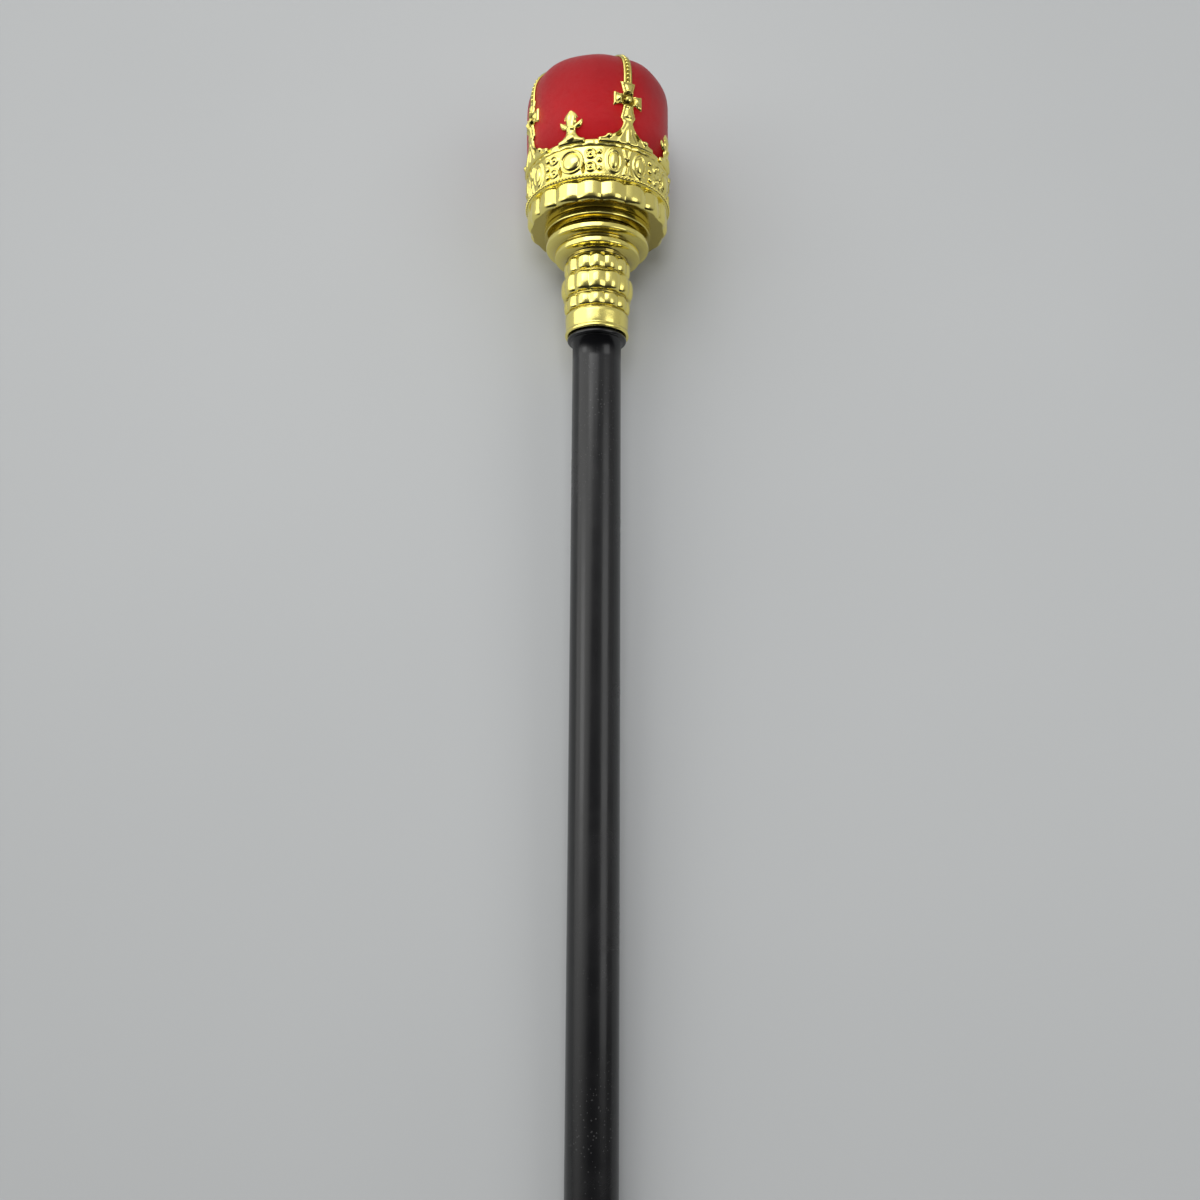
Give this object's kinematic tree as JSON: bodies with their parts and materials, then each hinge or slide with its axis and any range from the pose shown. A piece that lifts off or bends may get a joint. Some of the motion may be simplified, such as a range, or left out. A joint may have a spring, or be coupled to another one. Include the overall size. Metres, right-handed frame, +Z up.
{
  "type": "costume sceptre",
  "caption": "Costume sceptre: a slim round shaft with a ringed neck and a crown head, its arched crosses closing over a padded cap, for holding in one hand.",
  "frame": {"origin": "on the floor, in the middle of the box of the lying sceptre", "axes": "+Y along the sceptre from the shaft's end to the crown, +Z up, +X to the right of someone looking along +Y"},
  "size_m": [0.068, 0.5256, 0.0667],
  "materials": {
    "shaft": "semi-gloss black moulded plastic",
    "gold": "mirror-bright gold metallised plastic",
    "cap": "red flocked shell"
  },
  "bodies": {
    "root": {"shaft": "shaft", "neck": "gold", "crown": "gold", "cap": "cap"}
  },
  "joints": []
}
